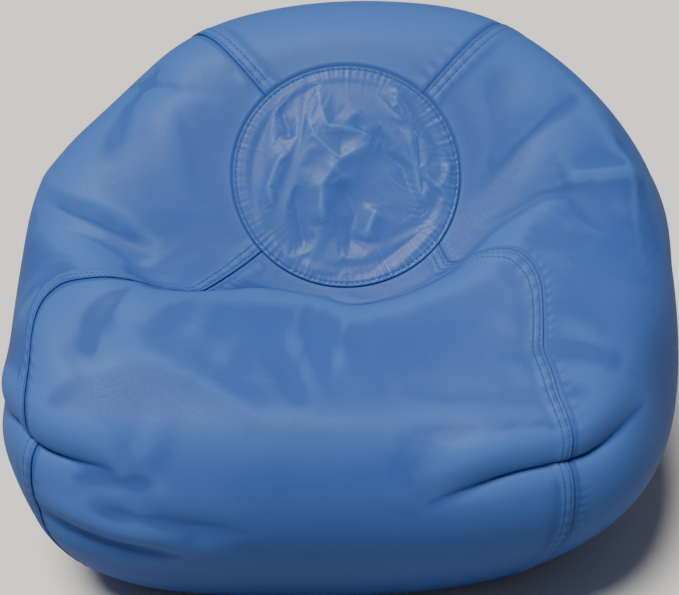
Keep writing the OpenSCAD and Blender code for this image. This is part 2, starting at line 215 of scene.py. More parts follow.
FOLDS = (
    # the crease between the seat and the back, from arm to arm: the seat stands up in front of it
    Fold(((-163, 27), (-156, 29), (-149, 29), (-143, 27), (-137, 26), (-131, 27), (-125, 29),
          (-113, 33), (-97, 34), (-88, 31), (-79, 31), (-65, 33), (-53, 35), (-44, 38),
          (-36, 40), (-27, 40), (-14, 37)), 12, 18, 0, 9, spread=27, lean=13),
    # the left panel: a shelf, the hollow below it, and slack valleys above
    Fold(((-178, 30), (-163, 33), (-158, 35), (-152, 36), (-140, 33)), 22, -8),
    Fold(((-168, 29), (-160, 31), (-152, 32), (-143, 31)), 20, 9),
    Fold(((165, 60), (178, 52), (-172, 46), (-164, 40)), 18, 5, 1, 2),
    Fold(((172, 48), (-177, 59), (-172, 72)), 12, 4, 2, 1),
    Fold(((-176, 64), (-160, 58), (-141, 52), (-124, 46)), 11, 4.5, 1, 2),
    Fold(((-174, 57), (-155, 53), (-142, 46)), 9, 3, 1, 1),
    # the pinch and the ridge on the left arm
    Fold(((-138, 27), (-139, 23), (-136, 19), (-131, 17)), 11, 8, 2, 4),
    Fold(((-136, 22), (-128, 20), (-117, 18), (-104, 14)), 15, -5),
    # folds low on the left
    Fold(((-152, 1), (-140, 6), (-134, 5), (-122, 4)), 11, 13, 8, lean=-8),
    Fold(((-131, 2), (-116, 3)), 15, 4, 2, 2),
    Fold(((-137, -6), (-126, -9), (-113, -11)), 12, 8, 5, 1),
    Fold(((-127, -2), (-117, -3), (-102, -5)), 13, 3.5, 1, 2),
    # the pinch fold low on the right, across the seam, with its upper side hanging over
    Fold(((-78, 0), (-66, 5), (-58, 6), (-52, 6), (-40, 8)), 10, 12, 9, spread=20, lean=-8),
    # the right arm and the panel behind it
    Fold(((-19, 39), (-21, 35), (-24, 29)), 10, 4, 2, 2),
    Fold(((3, 62), (-8, 58), (-19, 53), (-30, 50)), 16, 5, 2, 2),
    Fold(((2, 45), (-12, 49), (-21, 49), (-36, 47)), 14, 6, 2, 3),
    Fold(((-19, 39), (-15, 37), (-9, 30)), 12, -6),
    Fold(((20, 58), (-2, 44), (-8, 38), (-12, 32), (-26, 20)), 30, -9),
    # small creases in the seat
    Fold(((-127, 25), (-119, 22), (-110, 21)), 12, -1.2, soft=1.3),
    Fold(((-118, 23), (-110, 19), (-100, 18)), 8, -1.4),
    Fold(((-108, 25), (-103, 21), (-95, 15)), 7, 1.4, 0.6, 0.6),
    Fold(((-101, 30), (-96, 23), (-90, 19)), 7, 1.6, 0.8, 0.8),
    Fold(((-89, 28), (-90, 23), (-93, 18)), 10, -1.2),
    # slack waves near the right seam
    Fold(((-80, 17), (-62, 15), (-48, 14)), 14, 4, 2, 2),
    Fold(((-82, 11), (-64, 12), (-50, 10)), 13, 4, 2, 2),
    Fold(((-60, 20), (-50, 19), (-42, 16)), 9, 3, 2, 2),
    # the top of the back
    Fold(((150, 80), (89, 83), (26, 76)), 20, -3),
    # the sides and the back, which slump the same way
    Fold(((-10, 9), (4, 13), (20, 15), (31, 11)), 13, 5, 3),
    Fold(((2, -6), (18, -1), (27, 1)), 11, 4, 3),
    Fold(((38, 30), (53, 19), (72, 14)), 24, 3.5, 1, 1, soft=1.6),
    Fold(((56, 2), (72, 8), (96, 5)), 22, 3, 2, soft=1.6),
    Fold(((56, 46), (74, 33), (84, 20)), 26, 3, 1, 1, soft=1.6),
    Fold(((90, -2), (106, 3), (124, 0)), 20, 3, 2, soft=1.6),
    Fold(((96, 40), (112, 27), (134, 22)), 26, 3.5, 1, 1, soft=1.6),
    Fold(((134, 2), (152, 8), (174, 5)), 20, 4, 2, soft=1.5),
    Fold(((144, 36), (160, 23), (178, 18)), 24, 3.5, 1, 1, soft=1.6),
)
FOLD_SAMPLES = 180
# Where the swell beside a valley is highest, in shares of its spread; and for a fold that leans,
# its lip in shares of the valley's width, and how much of the lean its bulk takes part in
SWELL_AT = 1.45
LIP_WIDTH = 0.9
BULK_SHARE = 0.35
# Places that stand out or fall short of the rule: azimuth, elevation, spread in degrees, and
# height in mm
BULGES = (
    (-167, 32, 14, 22), (-150, 20, 12, 12), (-138, 7, 10, 16), (-178, 55, 12, 4), (-2, 2, 13, -9),
    (-128, -10, 10, -5), (-42, 31, 10, 6), (167, 64, 14, 10), (18, 64, 12, 5), (-34, 9, 11, -9),
    (-147, 0, 8, 8),
)
# Slack: azimuth, elevation, spread in degrees, how much cloth there is to spare
SLACK = 0.003
SLACKS = (
    (-168, 42, 22, 0.017), (-5, 48, 24, 0.015), (-105, 27, 18, 0.004), (-60, 34, 18, 0.004),
    (-137, 12, 18, 0.014), (-125, -6, 16, 0.012), (-58, 8, 15, 0.014), (60, 25, 30, 0.013),
    (110, 18, 34, 0.013), (158, 8, 26, 0.014), (14, 4, 24, 0.015),
)
# Creases of the crown, through points in shares of its radius: across it, and up it
CROWN_FOLDS = (
    Fold(((-0.28, 0.91), (-0.21, 0.54), (-0.16, 0.4), (0.15, 0.37), (0.26, 0.31)), 9, -3.9),
    Fold(((-0.35, 0.54), (-0.27, 0.31), (-0.05, 0.1), (0.26, 0.3)), 11, -4.2),
    Fold(((-0.05, 0.1), (-0.21, -0.11), (-0.21, -0.46)), 11, -3.9),
    Fold(((0.05, 0.52), (0.14, 0.41), (0.32, 0.32), (0.35, 0.2), (0.49, 0.09),
          (0.7, -0.51)), 11, 4.8),
    Fold(((0.57, 0.61), (0.56, 0.26), (0.64, -0.16), (0.67, -0.22), (0.7, -0.14),
          (0.68, 0.31)), 8, -3.3),
    Fold(((0.77, -0.16), (0.84, -0.09), (0.91, 0.13)), 8, -3.0),
    Fold(((0.44, 0.8), (0.44, 0.6), (0.46, 0.42)), 8, -3.0),
    Fold(((-0.49, 0.2), (-0.59, 0.09), (-0.67, -0.13), (-0.63, -0.3)), 9, -3.3),
    Fold(((0.28, -0.3), (0.22, -0.42), (0.16, -0.6)), 9, -3.3),
    Fold(((-0.6, 0.62), (-0.52, 0.45), (-0.5, 0.3)), 9, 3.0),
    Fold(((-0.05, -0.05), (0.08, -0.35), (0.02, -0.75)), 11, 3.3),
    Fold(((-0.45, -0.1), (-0.42, -0.4), (-0.35, -0.7)), 9, 3.0),
)


def fold_line(path):
    """Points along a fold, with the direction along it and to its left, on the unit sphere."""
    p = facing(*np.array(path, float).T)
    p = np.vstack([2 * p[0] - p[1], p, 2 * p[-1] - p[-2]])
    at = np.linspace(0, len(path) - 1 - 1e-9, FOLD_SAMPLES)
    i = at.astype(int)
    t = (at - i)[:, None]
    a, b, c, d = p[i], p[i + 1], p[i + 2], p[i + 3]
    line = 0.5 * (2 * b + (c - a) * t + (2 * a - 5 * b + 4 * c - d) * t**2
                  + (3 * b - a - 3 * c + d) * t**3)
    line = unit(line)
    along = unit(np.gradient(line, axis=0))
    return line, along, unit(np.cross(line, along))


def folded(d, distance):
    """What every fold adds to the reach of the bag in directions d, and how far it leans over."""
    change = np.zeros(d.shape[:-1])
    lean = np.zeros(d.shape)
    flat = d.reshape(-1, 3)
    far = distance.reshape(-1)
    for fold in FOLDS:
        line, along, left = fold_line(fold.path)
        width = fold.width * MM
        spread = (fold.spread or 1.5 * fold.width) * MM
        near = np.argmax(flat @ line.T, axis=1)
        gap = (flat - line[near]) * far[:, None]
        x = (gap * left[near]).sum(1)
        past = (gap * along[near]).sum(1)
        share = near / (FOLD_SAMPLES - 1)
        past = np.where((near == 0) | (near == FOLD_SAMPLES - 1), past, 0)
        fade = ease(np.minimum(share, 1 - share) * 3 + 0.1)
        fade = fade * np.exp(-((past / (1.5 * width)) ** 2))
        valley = -fold.depth * np.exp(-((np.abs(x) / width) ** fold.soft))
        swell = sum(height * np.exp(-(((x - side * SWELL_AT * spread) / spread) ** 2))
                    for height, side in ((fold.left, 1), (fold.right, -1)))
        change += ((valley + swell) * fade).reshape(change.shape) * MM
        if fold.lean:
            # the side that stands up is carried over the valley
            over = fold.lean * MM
            lip = width * LIP_WIDTH
            place = x * np.sign(over) + lip
            carried = over * np.exp(-((place / lip) ** 2)) * fade
            carried = carried + BULK_SHARE * over * np.exp(-((place / spread) ** 2)) * fade
            lean += (carried[:, None] * left[near]).reshape(lean.shape)
    return change, lean


# ---- Grids

COVER_ROWS = 104
COVER_COLUMNS = 304
CROWN_CELLS = 96
CREASE_SAMPLES = 120
CREASE_POWER = 1.3
FOLD_FADE = 0.12


def even_rows(count):
    """Places from the crown to the base that are evenly spaced along the cover, on average."""
    s = np.linspace(0, 1, 400)
    v = np.linspace(0, 4, 33)[:-1]
    d = gore_way(s[:, None], v[None])
    p = d * reach(d)[..., None]
    along = np.linalg.norm(np.diff(p, axis=0), axis=-1).mean(1)
    total = np.concatenate([[0], np.cumsum(along)])
    return np.interp(np.linspace(0, total[-1], count + 1), total, s)


def gore_points(s, v, folds=True):
    """Points of the cover between the crown and the base ring."""
    d = gore_way(s, v)
    distance = reach(d)
    lean = 0
    if folds:
        calm = ease(np.minimum(s, (1 - s) * 0.7) / FOLD_FADE)
        change, lean = folded(d, distance)
        for az, el, spread, height in BULGES:
            away = np.degrees(np.arccos(np.clip(d @ facing(az, el), -1, 1))) / spread
            change = change + height * MM * np.exp(-away**2)
        distance = distance + change * calm
        lean = lean * calm[..., None]
    last = gore_way(np.ones_like(s), v)
    b = np.radians(seam_angles(v + 0 * s)[..., 2])
    goal = np.stack([BASE_R * np.cos(b), BASE_R * np.sin(b), 0 * b], -1) + MIDDLE
    miss = goal - HEART - last * reach(last)[..., None]
    lip = ease((s - 1 + LIP_SHARE) / LIP_SHARE)[..., None]
    return HEART + d * distance[..., None] + lean + miss * lip


def disc(a, b):
    """The place in a unit disc of the place (a, b) in a square, and its share of the radius."""
    x, y = a * np.sqrt(1 - b * b / 2), b * np.sqrt(1 - a * a / 2)
    return x, y, np.clip(np.hypot(x, y), 0, 1)


def crown_points(a, b):
    """Points of the crown; a and b run from -1 to 1 over a square that is rounded to a disc."""
    x, y, r = disc(a, b)
    # keeps the rim exactly round
    r = np.where(np.maximum(np.abs(a), np.abs(b)) > 1 - 1e-9, 1.0, r)
    angle = np.degrees(np.arctan2(y, x))
    d = crown_way(r, angle)
    out = reach(d)
    here = np.stack([r * np.cos(np.radians(angle)), r * np.sin(np.radians(angle))], -1)
    for fold in CROWN_FOLDS:
        corners = np.array(fold.path)
        at = np.linspace(0, len(corners) - 1, CREASE_SAMPLES)
        line = np.stack([np.interp(at, np.arange(len(corners)), c) for c in corners.T], -1)
        for _ in range(12):
            line[1:-1] = (line[:-2] + 2 * line[1:-1] + line[2:]) / 4
        gap = np.linalg.norm(here[..., None, :] - line, axis=-1)
        near = gap.argmin(-1)
        x = gap.min(-1) * CROWN_R / (fold.width * MM)
        fade = ease(np.minimum(near, CREASE_SAMPLES - 1 - near) / 35 + 0.25)
        out = out - fold.depth * MM * np.exp(-x**CREASE_POWER) * fade * ease((1 - r) / 0.12)
    return HEART + d * out[..., None], r


def add_mesh(name, points, faces):
    """A new object of a mesh, in the scene."""
    mesh = bpy.data.meshes.new(name)
    mesh.from_pydata([tuple(p) for p in points], [], faces)
    mesh.update()
    obj = bpy.data.objects.new(name, mesh)
    bpy.context.scene.collection.objects.link(obj)
    return obj


def grid_faces(rows, columns, closed=False):
    """Quads of a grid whose rows run down and whose columns run anticlockwise, facing outwards."""
    spans = columns if closed else columns - 1
    i, j = np.meshgrid(np.arange(rows - 1), np.arange(spans), indexing="ij")
    a, b = i * columns + j, i * columns + (j + 1) % columns
    return np.stack([a, a + columns, b + columns, b], -1).reshape(-1, 4).tolist()


def simulate(points, faces, hold, growth, frames, push, stiff=15.0, bend=0.6):
    """Lets a net of cloth buckle: it grows where it is held, and the air behind pushes it."""
    obj = add_mesh("cloth_try", points, faces)
    most = float(np.max(growth))
    for name, weights in (("hold", hold), ("growth", growth / most + 0 * hold)):
        group = obj.vertex_groups.new(name=name)
        rounded = np.round(weights, 2 if name == "growth" else 3)
        for weight in np.unique(rounded):
            group.add(np.nonzero(rounded == weight)[0].tolist(), float(weight), "REPLACE")
    cloth = obj.modifiers.new("cloth", "CLOTH")
    s = cloth.settings
    s.quality = 5
    s.mass = 0.3
    s.tension_stiffness = s.compression_stiffness = stiff
    s.shear_stiffness = stiff / 3
    s.bending_stiffness = bend
    s.tension_damping = s.compression_damping = 5
    s.bending_damping = 0.5
    s.air_damping = 3
    s.shrink_min = 0
    s.shrink_max = -most
    s.vertex_group_shrink = "growth"
    s.vertex_group_mass = "hold"
    s.pin_stiffness = 0.6
    s.effector_weights.gravity = 0
    if push:
        s.use_pressure = True
        s.uniform_pressure_force = push
    cloth.collision_settings.use_collision = False
    cloth.collision_settings.use_self_collision = False
    cloth.point_cache.frame_start = 1
    cloth.point_cache.frame_end = frames
    for f in range(1, frames + 1):
        bpy.context.scene.frame_set(f)
    evaluated = obj.evaluated_get(bpy.context.evaluated_depsgraph_get())
    out = np.zeros(len(points) * 3)
    evaluated.data.vertices.foreach_get("co", out)
    bpy.data.objects.remove(obj)
    bpy.context.scene.frame_set(1)
    return out.reshape(-1, 3)


def calmed(grid, passes, closed):
    """Smooths a grid of points a little, leaving its first and last rows."""
    for _ in range(passes):
        if closed:
            side = (np.roll(grid, 1, 1) + np.roll(grid, -1, 1)) / 2
        else:
            side = grid.copy()
            side[:, 1:-1] = (grid[:, :-2] + grid[:, 2:]) / 2
        up = grid.copy()
        up[1:-1] = (grid[:-2] + grid[2:]) / 2
        new = grid * 0.5 + (side + up) * 0.25
        new[0], new[-1] = grid[0], grid[-1]
        if not closed:
            new[:, 0], new[:, -1] = grid[:, 0], grid[:, -1]
        grid = new
    return grid


def cubic(t):
    return np.stack([-t / 2 + t**2 - t**3 / 2, 1 - 2.5 * t**2 + 1.5 * t**3,
                     t / 2 + 2 * t**2 - 1.5 * t**3, -t**2 / 2 + t**3 / 2], -1)


def sample_rows(grid, at):
    """Cubic interpolation down a grid, at places in rows; past an end it runs on straight."""
    last = len(grid) - 1
    padded = np.concatenate([2 * grid[:1] - grid[1:2], grid, 2 * grid[-1:] - grid[-2:-1]])
    i = np.clip(np.floor(at).astype(int), 0, last - 1)
    w = cubic(np.clip(at - i, 0, 1))
    out = sum(w[:, k][:, None, None] * padded[i + k] for k in range(4))
    return out + np.minimum(at, 0)[:, None, None] * (grid[1] - grid[0])


def sample_columns(rows, at, closed=True):
    """Cubic interpolation along each row, at its own places in columns."""
    n = rows.shape[1]
    i = np.floor(at).astype(int)
    if not closed:
        i = np.clip(i, 0, n - 2)
    w = cubic(at - i)
    r = np.arange(len(rows))[:, None]
    pick = (lambda k: (i + k) % n) if closed else (lambda k: np.clip(i + k, 0, n - 1))
    return sum(w[..., k][..., None] * rows[r, pick(k - 1)] for k in range(4))


def normals_of(grid):
    """Outward unit normals of a grid whose rows run down and columns anticlockwise."""
    return unit(np.cross(np.gradient(grid, axis=0), np.gradient(grid, axis=1)))


SHAPES = {}


def build_shapes():
    """The cover as one grid from crown to base and the crown as another, folded and buckled."""
    s = even_rows(COVER_ROWS)
    v = np.arange(COVER_COLUMNS) * 4 / COVER_COLUMNS
    grid = gore_points(s[:, None] + 0 * v[None], v[None] + 0 * s[:, None])
    side = np.linspace(-1, 1, CROWN_CELLS + 1)
    a, b = np.meshgrid(side, side, indexing="ij")
    crown, r = crown_points(a, b)
    hold = np.full(grid.shape[:2], 0.05)
    edge = np.minimum(np.arange(COVER_ROWS + 1), COVER_ROWS - np.arange(COVER_ROWS + 1))
    hold = np.maximum(hold, (0.5 - 0.12 * edge)[:, None])
    hold[0] = hold[-1] = 1.0
    low = ease((0.03 - grid[..., 2]) / 0.03)
    hold = np.maximum(hold, low)
    growth = np.full(grid.shape[:2], SLACK)
    ways = unit(grid - HEART)
    for az, el, spread, slack in SLACKS:
        away = np.degrees(np.arccos(np.clip(ways @ facing(az, el), -1, 1))) / spread
        growth += slack * np.exp(-away**2)
    growth *= ease((s[:, None] + 0.02) / 0.12)
    flat = simulate(grid.reshape(-1, 3), grid_faces(*grid.shape[:2], closed=True),
                    hold.ravel(), growth.ravel(), 24, 0.2)
    grid = calmed(flat.reshape(grid.shape), 1, True)
    hold = np.full(r.shape, 0.03)
    hold[r > 0.999] = 1.0
    faces = grid_faces(CROWN_CELLS + 1, CROWN_CELLS + 1)
    flat = simulate(crown.reshape(-1, 3), faces, hold.ravel(), np.full(r.size, 0.055), 36, 1.1,
                    bend=0.4)
    crown = flat.reshape(crown.shape)
    SHAPES["rows"], SHAPES["cover"], SHAPES["crown"] = s, grid, crown


# ---- Materials

def linear(hex_colour):
    """An sRGB hex colour as linear RGBA."""
    c = [int(hex_colour[i : i + 2], 16) / 255 for i in (1, 3, 5)]
    return [x / 12.92 if x <= 0.04045 else ((x + 0.055) / 1.055) ** 2.4 for x in c] + [1.0]


def node(tree, kind, links=None, **settings):
    """Adds a node; settings are its attributes or, by name or number, its inputs' values."""
    n = tree.nodes.new(kind)
    inputs = settings.pop("inputs", {})
    for key, value in settings.items():
        setattr(n, key, value)
    for key, value in inputs.items():
        n.inputs[key].default_value = value
    for key, socket in (links or {}).items():
        tree.links.new(socket, n.inputs[key])
    return n


def new_material(name):
    """A material with its tree, its shader and the place on the object in metres."""
    material = bpy.data.materials.new(name)
    material.use_nodes = True
    tree = material.node_tree
    tree.nodes.clear()
    shader = node(tree, "ShaderNodeBsdfPrincipled")
    node(tree, "ShaderNodeOutputMaterial", {"Surface": shader.outputs[0]})
    return material, tree, shader, node(tree, "ShaderNodeTexCoord").outputs["Object"]


def noise(tree, place, scale, detail=2.0, roughness=0.5):
    return node(tree, "ShaderNodeTexNoise", {"Vector": place},
                inputs={"Scale": scale, "Detail": detail, "Roughness": roughness}).outputs["Fac"]


def ramp(tree, value, low, high, at=(0.0, 1.0)):
    """Colours from low to high by value."""
    made = node(tree, "ShaderNodeValToRGB", {"Fac": value})
    for stop, place, colour in zip(made.color_ramp.elements, at, (low, high)):
        stop.position, stop.color = place, colour
    return made.outputs["Color"]


def mix(tree, factor):
    """A colour mixer, with the inputs of its two colours."""
    made = node(tree, "ShaderNodeMix", {"Factor": factor}, data_type="RGBA")
    return made.outputs[2], made.inputs[6], made.inputs[7]


def spread_to(tree, value, low, high, start=0.3, end=0.7):
    """The value, from start to end, spread to run from low to high."""
    return node(tree, "ShaderNodeMapRange", {"Value": value}, inputs={
        "From Min": start, "From Max": end, "To Min": low, "To Max": high}).outputs[0]


def bump(tree, height, strength, distance, below=None):
    """The normal that a height gives, on top of the one below."""
    links = {"Height": height} if below is None else {"Height": height, "Normal": below}
    return node(tree, "ShaderNodeBump", links,
                inputs={"Strength": strength, "Distance": distance}).outputs[0]


def dimmed(colour, factor):
    return [min(1, factor * c) for c in colour[:3]] + [1]


def wire(tree, shader, **sockets):
    """Links sockets to the shader's inputs, named with _ for each space."""
    for key, socket in sockets.items():
        tree.links.new(socket, shader.inputs[key.replace("_", " ")])


def vinyl_material(name, colour, light, dark, roughness, shine):
    """Vinyl-coated fabric, embossed and satin: soft highlights that break up on a fine pebble."""
    material, tree, shader, place = new_material(name)
    broad = ramp(tree, noise(tree, place, 9.0, 3.0, 0.55), dark, colour, (0.3, 0.72))
    # painted highlight: on the ridges of the cloth the colour is mixed towards a lighter blue
    ridge_highlight_mask = node(tree, "ShaderNodeAttribute", attribute_name="ridge")
    mixed, flat, ridge = mix(tree, ridge_highlight_mask.outputs["Fac"])
    tree.links.new(broad, flat)
    ridge.default_value = light
    # grain: cells of about 0.9 mm, drawn a little coarser than life so that they show
    grain = node(tree, "ShaderNodeTexVoronoi", {"Vector": place}, feature="SMOOTH_F1",
                 inputs={"Scale": 1100.0, "Smoothness": 0.6})
    fine = noise(tree, place, 420.0, 3.0, 0.6)
    pebble = node(tree, "ShaderNodeMath", {0: grain.outputs["Distance"], 1: fine}, operation="ADD")
    slack = bump(tree, noise(tree, place, 55.0), 0.15, 0.0012)
    wire(tree, shader, Base_Color=mixed,
         Normal=bump(tree, pebble.outputs[0], 0.22, 0.00025, slack),
         Roughness=spread_to(tree, fine, roughness - 0.04, roughness + 0.07))
    shader.inputs["Specular IOR Level"].default_value = shine
    return material


def thread_material(name, colour):
    """Twisted polyester thread: matt with a faint sheen and a two-ply twist along it."""
    material, tree, shader, place = new_material(name)
    twist = noise(tree, place, 1500.0)
    wire(tree, shader, Base_Color=ramp(tree, twist, dimmed(colour, 0.75), dimmed(colour, 1.15)),
         Normal=bump(tree, twist, 0.4, 0.0001))
    shader.inputs["Roughness"].default_value = 0.6
    shader.inputs["Sheen Weight"].default_value = 0.2
    return material


def woven_material(name, colour, threads_per_mm):
    """Plain-woven polyester: matt, with the over-and-under of warp and weft."""
    material, tree, shader, place = new_material(name)
    scale = threads_per_mm / MM / 2 / 3.14
    waves = [node(tree, "ShaderNodeTexWave", {"Vector": place}, wave_type="BANDS",
                  bands_direction=axis, inputs={"Scale": scale, "Distortion": 0.4})
             for axis in "XY"]
    both = node(tree, "ShaderNodeMath", {i: wave.outputs["Fac"] for i, wave in enumerate(waves)},
                operation="MULTIPLY").outputs[0]
    wire(tree, shader, Base_Color=ramp(tree, both, dimmed(colour, 0.7), colour),
         Normal=bump(tree, both, 0.5, 0.0002))
    shader.inputs["Roughness"].default_value = 0.8
    return material


def nylon_material(name, colour):
    """Moulded nylon monofilament: half gloss with a little unevenness."""
    material, tree, shader, place = new_material(name)
    wire(tree, shader,
         Base_Color=ramp(tree, noise(tree, place, 900.0), dimmed(colour, 0.85), colour))
    shader.inputs["Roughness"].default_value = 0.38
    return material


def zinc_material(name, colour):
    """Die-cast zinc, tumbled and nickel plated: soft metallic gloss with fine scratches."""
    material, tree, shader, place = new_material(name)
    scratch = noise(tree, place, 1400.0, 4.0, 0.7)
    wire(tree, shader, Roughness=spread_to(tree, scratch, 0.22, 0.42),
         Normal=bump(tree, scratch, 0.15, 0.00005))
    shader.inputs["Base Color"].default_value = colour
    shader.inputs["Metallic"].default_value = 1.0
    return material


def bead_material(name, colour):
    """Expanded polystyrene beads of 3 to 6 mm: white, matt, each bead a small dome."""
    material, tree, shader, place = new_material(name)
    beads = node(tree, "ShaderNodeTexVoronoi", {"Vector": place}, inputs={"Scale": 220.0})
    dome = spread_to(tree, beads.outputs["Distance"], 1.0, 0.0, 0.0, 0.6)
    # painted shade: each bead's colour darkens to 55% towards the gaps between the beads
    wire(tree, shader, Base_Color=ramp(tree, dome, dimmed(colour, 0.55), colour, (0.0, 0.4)),
         Normal=bump(tree, dome, 0.9, 0.002))
    shader.inputs["Roughness"].default_value = 0.75
    return material


def floor_material(name, colour, bounce):
    """Matt painted board, pale and even, that throws little light back up."""
    material, tree, shader, _ = new_material(name)
    path = node(tree, "ShaderNodeLightPath")
    seen, unseen_colour, seen_colour = mix(tree, path.outputs["Is Camera Ray"])
    unseen_colour.default_value, seen_colour.default_value = bounce, colour
    wire(tree, shader, Base_Color=seen)
    shader.inputs["Roughness"].default_value = 0.7
    return material


# ---- Settings

def mm_property(name, description, mm):
    return FloatProperty(name=name, description=description, default=mm * MM, unit="LENGTH")


def colour_property(name, description, value):
    return FloatVectorProperty(name=name, description=description, default=linear(value)[:3],
                               subtype="COLOR", size=3, min=0, max=1)


class BagSizes(PropertyGroup):
    """Sizes of the sewing that a maker would change."""

    cover_t: mm_property("Cover thickness", "Thickness of the coated fabric", 1.0)
    stitch_inset: mm_property("First row", "From the folded edge to the first row", 3.5)
    stitch_gauge: mm_property("Row gauge", "Between the two rows of stitching", 6.35)
    stitch_pitch: mm_property("Stitch pitch", "Length of one stitch and its gap", 5.0)
    thread_d: mm_property("Thread", "Diameter of the topstitching thread", 0.8)
    lap_rise: mm_property("Lap rise", "How far a lapped edge stands proud", 0.9)
    tuck: mm_property("Tuck", "How far the under panel runs below the lap", 5.0)
    gather: mm_property("Gathers", "Height of the gathers at the crown's rim", 0.6)
    coil_pitch: mm_property("Coil pitch", "Distance between two turns of a coil", 1.6)
    rows: IntProperty(name="Panel rows", description="Rows of faces in a gore", default=250)
    columns: IntProperty(name="Panel columns", description="Columns across the middle of a gore",
                         default=144)


class BagColours(PropertyGroup):
    """Colours of the finishes."""

    vinyl: colour_property("Vinyl", "Coated fabric of the cover", "#3f62ad")
    # painted highlight: the lighter blue that the ridges of the cover are painted with
    vinyl_ridge_highlight: colour_property(
        "Vinyl, ridges", "Coated fabric stretched over a ridge", "#476eb8")
    vinyl_dark: colour_property("Vinyl, hollows", "Coated fabric where it is darkest", "#3a5ba3")
    thread: colour_property("Thread", "Topstitching thread", "#2b427c")
    tape: colour_property("Zip tape", "Woven tapes of both zips", "#2f4a78")
    coil: colour_property("Zip coil", "Nylon spirals of both zips", "#3a5686")
    zinc: colour_property("Zip metal", "Sliders and stops", "#c2c4c6")
    liner: colour_property("Liner", "Woven cloth of the liner", "#e8e6df")
    bead: colour_property("Beads", "Polystyrene beads", "#fafaf7")
    floor: colour_property("Floor", "Painted board below the chair", "#f7f6f4")
    bounce: colour_property("Floor bounce", "What the floor gives back as light", "#a4a4a6")


def sizes_now():
    """The sizes as they are set in this scene."""
    return bpy.context.scene.bean_bag_sizes


def colour_of(key):
    """The colour called key as linear RGBA."""
    return [*getattr(bpy.context.scene.bean_bag_colours, key), 1.0]


def material_for(key):
    """The finish called key, made once."""
    name, make, *given = {
        "cover": ("embossed_vinyl_coated_fabric", vinyl_material, 0.43, 0.09),
        "crown": ("embossed_vinyl_coated_fabric_slack", vinyl_material, 0.34, 0.13),
        "thread": ("polyester_thread_twisted", thread_material),
        "tape": ("polyester_zip_tape_woven", woven_material, 1.6),
        "coil": ("nylon_coil_moulded", nylon_material),
        "zinc": ("zinc_die_cast_plated", zinc_material),
        "liner": ("polyester_liner_plain_woven", woven_material, 1.0),
        "bead": ("polystyrene_beads_expanded", bead_material),
        "floor": ("board_painted_matt", floor_material),
    }[key]
    if name in bpy.data.materials:
        return bpy.data.materials[name]
    shades = {"cover": ("vinyl", "vinyl_ridge_highlight", "vinyl_dark"), "floor": ("floor", "bounce")}
    shades["crown"] = shades["cover"]
    return make(name, *map(colour_of, shades.get(key, (key,))), *given)


# ---- Cover panels

FIRST_BAND = (0.0, 0.15, 0.4, 0.7, 1.1, 1.6, 2.2, 2.8, 3.5, 4.2, 5.0, 6.0, 7.2, 8.4, 9.2, 9.85,
              10.5, 11.2, 12.0, 13.0, 14.5, 16.5, 19.0, 22.0)
# Columns of a gore's tucked side, from its seam in shares of the tuck; below 0 they run under the
# neighbour's lap
TUCK_BAND = (-1.0, -0.5, 0.15, 0.35, 0.6, 0.9, 1.3, 1.8)


def lap_profile(x, sizes, rows):
    """Height of a lapped edge at distance x from its fold, with a groove along each stitch row."""
    rise = sizes.lap_rise * (1 - ease((x - 11 * MM) / (9 * MM)))
    turn = np.clip(x / (1.3 * MM), 0, 1)
    edge = (sizes.lap_rise + 0.4 * MM) * (1 - np.sqrt(np.maximum(0, 1 - (1 - turn) ** 2)))
    groove = sum(0.55 * MM * np.exp(-(((x - r) / (0.9 * MM)) ** 2)) for r in rows)
    return rise - edge - groove


def under_profile(x, depth):
    """Depth of the panel that runs below a lap, at distance x past the lap's fold."""
    return -depth * (1 - ease((x - 0.2 * MM) / (1.7 * MM)))


def ridge_of(points, normals):
    """How far each grid point stands above its neighbours, 0 to 1, where a highlight is painted.
    """
    near = np.zeros(points.shape[:2])
    for step in (2, 5):
        for axis in (0, 1):
            mean = (np.roll(points, step, axis) + np.roll(points, -step, axis)) / 2
            near += ((points - mean) * normals).sum(-1) / (step * step * 0.12 * MM)
    near[:6] = near[-6:] = 0
    near[:, :6] = near[:, -6:] = 0
    return np.clip(near, 0, 1)


def finish_sheet(name, points, ridge, faces, thickness, finish):
    """Makes a smooth sheet with a real thickness from a grid, and lets it stand for its node."""
    obj = add_mesh(name, points.reshape(-1, 3), faces)
    # the ridge mask, by which the vinyl material paints a highlight
    layer = obj.data.attributes.new("ridge", "FLOAT", "POINT")
    layer.data.foreach_set("value", ridge.astype(np.float32).ravel())
    solid = obj.modifiers.new("thickness", "SOLIDIFY")
    solid.thickness = thickness
    solid.offset = -1
    solid.use_even_offset = False
    graph = bpy.context.evaluated_depsgraph_get()
    mesh = bpy.data.meshes.new_from_object(obj.evaluated_get(graph))
    obj.modifiers.clear()
    obj.data = mesh
    mesh.name = name
    mesh.shade_smooth()
    mesh.materials.clear()
    mesh.materials.append(material_for(finish))
    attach(obj, "bag")
    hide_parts(name)
    return obj


def sheet_area(points):
    """Area of a grid of points in square metres."""
    a = points[1:, 1:] - points[:-1, :-1]
    b = points[1:, :-1] - points[:-1, 1:]
    return float(np.linalg.norm(np.cross(a, b), axis=-1).sum() / 2)


def disc_sheet(points):
    """Works out the area of a sheet cut as a disc; nothing uses it."""
    area = sheet_area(points)


